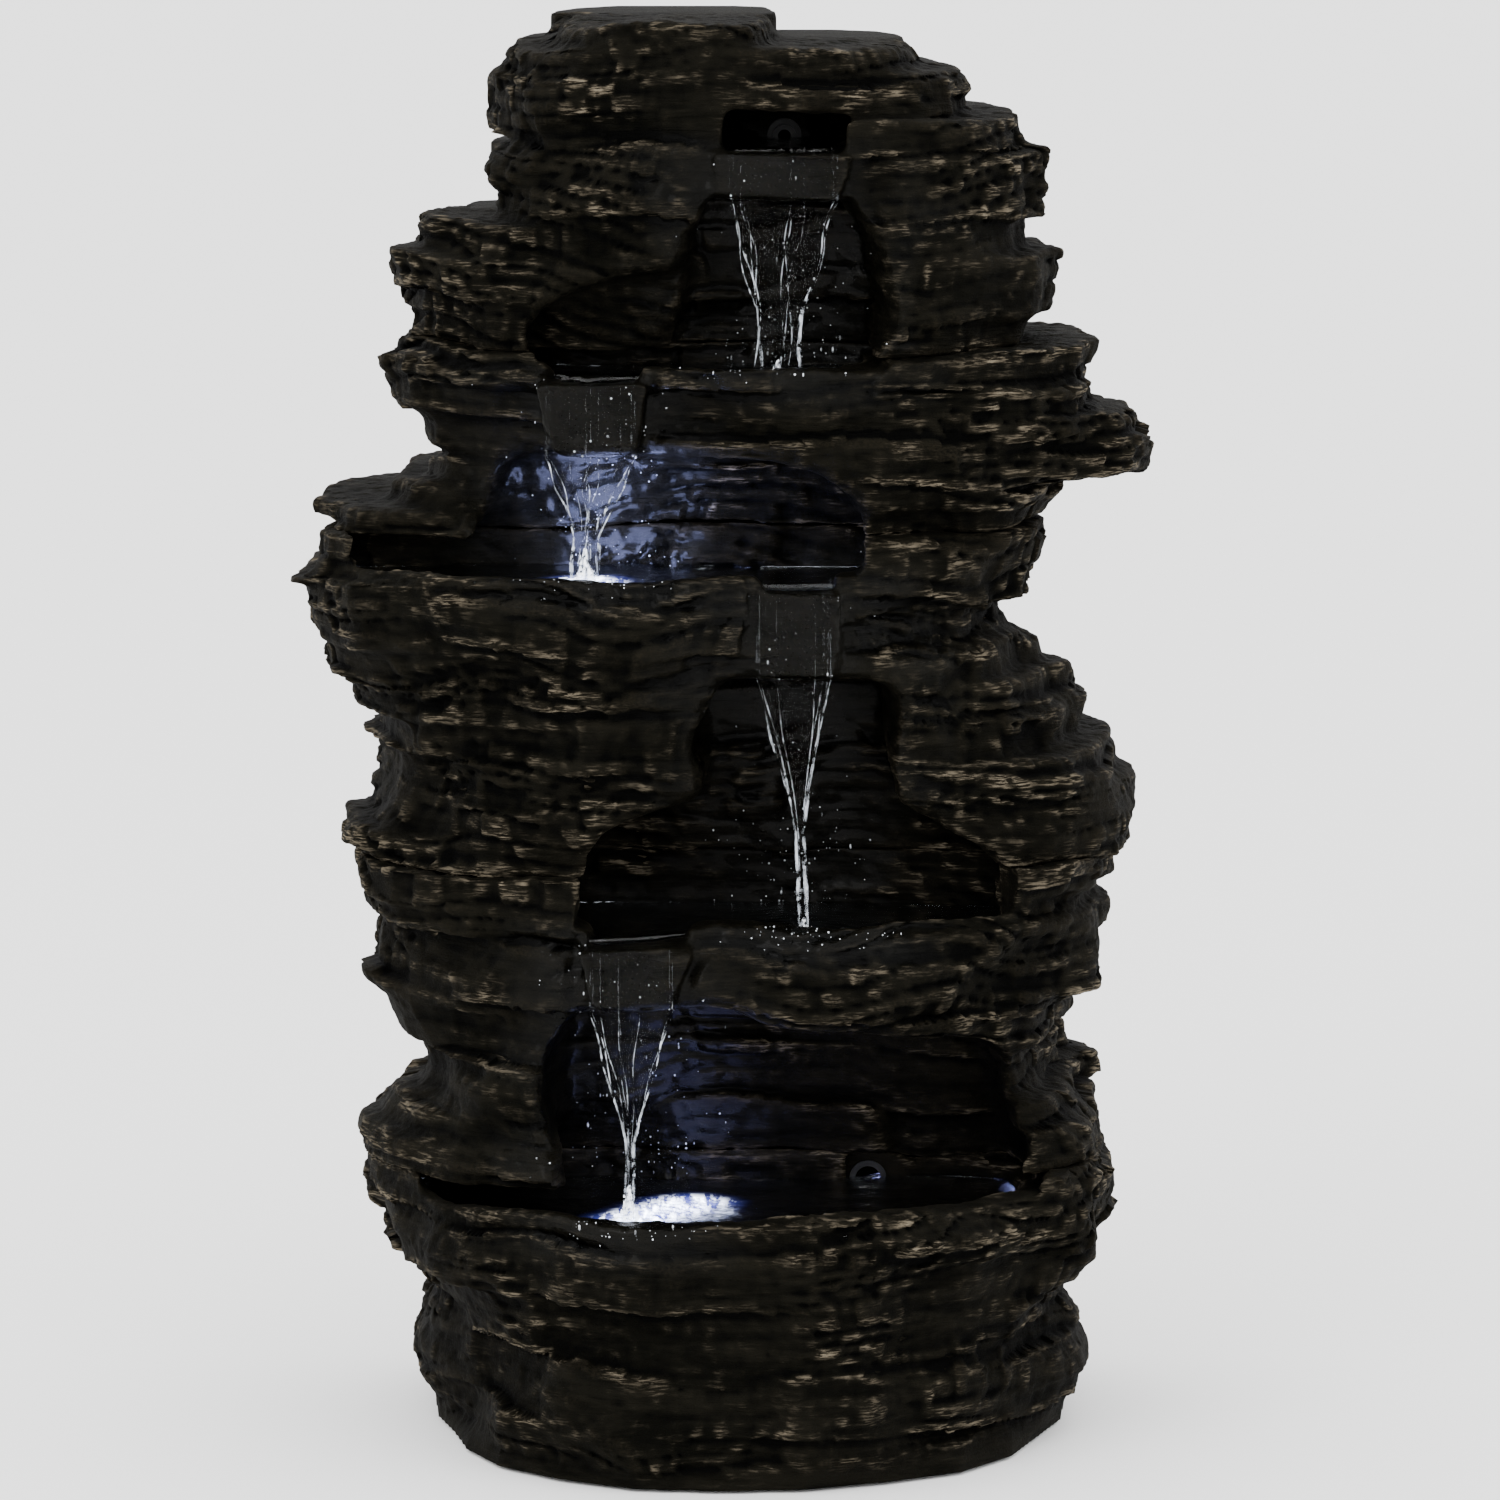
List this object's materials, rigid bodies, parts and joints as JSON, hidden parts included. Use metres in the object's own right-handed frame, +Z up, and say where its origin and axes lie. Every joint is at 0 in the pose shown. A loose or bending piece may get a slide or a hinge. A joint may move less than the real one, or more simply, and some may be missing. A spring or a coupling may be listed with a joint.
{
  "type": "tiered water fountain",
  "caption": "Free-standing tiered rock-fall garden fountain with stacked shale ledges, spilling pools, submerged lights, a pump in its sump and a hinged rear access door.",
  "frame": {"origin": "on the ground under the middle of the bounding box", "axes": "+Z up, the water falls at the front, towards -Y, and the flat back with its door faces +Y; +X is to the right seen from the front"},
  "size_m": [0.598, 0.4506, 0.99],
  "materials": {
    "rock": "satin",
    "door_plastic": "matte",
    "nylon": "satin",
    "black_rubber": "matte",
    "stainless": "satin",
    "magnet": "satin",
    "black_plastic": "satin",
    "pump_plastic": "satin",
    "impeller_plastic": "satin",
    "bush_ceramic": "polished",
    "sponge": "matte",
    "hose_vinyl": "satin",
    "lead_rubber": "satin",
    "board": "satin",
    "led": "gloss",
    "lens": "gloss"
  },
  "bodies": {
    "root": {"base_tub": "rock", "lower_tier": "rock", "middle_tier": "rock", "upper_tier": "rock", "crown": "rock", "tier_dowels": "nylon", "foot_pads": "black_rubber", "return_port_bush": "black_rubber", "door_gasket": "black_rubber", "casting_hinge_leaves": "stainless", "door_hinge_pins": "stainless", "casting_hinge_screws": "stainless", "door_magnet": "magnet", "drain_bush": "black_plastic", "pump_motor_housing": "pump_plastic", "pump_volute": "pump_plastic", "impeller_shaft": "bush_ceramic", "shaft_bushes": "black_rubber", "pump_suction_feet": "black_rubber", "pump_lead_boot": "black_rubber", "supply_hose": "hose_vinyl", "hose_clamps": "stainless", "hose_clips": "nylon", "spout_fitting": "black_plastic", "spout_washer": "black_rubber", "spout_locknut": "black_plastic", "junction_box": "black_plastic", "junction_lid": "black_plastic", "junction_lid_screws": "stainless", "terminal_block": "nylon", "cord_gland": "nylon", "gland_nut": "nylon", "pool_light_lead": "lead_rubber", "tier_light_lead": "lead_rubber", "pump_lead": "lead_rubber", "pool_lead_grommet": "black_rubber", "tier_lead_grommet": "black_rubber", "pool_light_housing": "black_plastic", "pool_light_board": "board", "pool_light_leds": "led", "pool_light_lens": "lens", "pool_light_bezel": "stainless", "pool_light_screws": "stainless", "tier_light_housing": "black_plastic", "tier_light_board": "board", "tier_light_leds": "led", "tier_light_lens": "lens", "tier_light_bezel": "stainless", "tier_light_screws": "stainless"},
    "door": {"access_door": "door_plastic", "door_hinge_leaves": "stainless", "door_hinge_screws": "stainless", "door_strike_plate": "stainless"},
    "drain_plug": {"drain_plug": "black_rubber"},
    "intake_cover": {"pump_intake_cover": "pump_plastic", "intake_sponge": "sponge"},
    "flow_dial": {"pump_flow_dial": "impeller_plastic"},
    "impeller": {"pump_impeller": "impeller_plastic"}
  },
  "joints": [
    {"name": "door_swing", "type": "hinge", "parent": "root", "child": "door", "pos_m": [-0.09, 0.2123, 0.277], "axis": [0, 0, 1], "range_deg": [0, 110]},
    {"name": "drain_plug_pull", "type": "slide", "parent": "root", "child": "drain_plug", "axis": [0, 1, 0], "range_m": [0, 0.04]},
    {"name": "intake_cover_pull", "type": "slide", "parent": "root", "child": "intake_cover", "axis": [-1, 0, 0], "range_m": [0, 0.045]},
    {"name": "flow_dial_turn", "type": "hinge", "parent": "intake_cover", "child": "flow_dial", "pos_m": [-0.06, 0.095, 0.062], "axis": [-1, 0, 0], "range_deg": [0, 90]},
    {"name": "impeller_spin", "type": "hinge", "parent": "root", "child": "impeller", "pos_m": [-0.02, 0.095, 0.048], "axis": [1, 0, 0], "continuous": true}
  ]
}
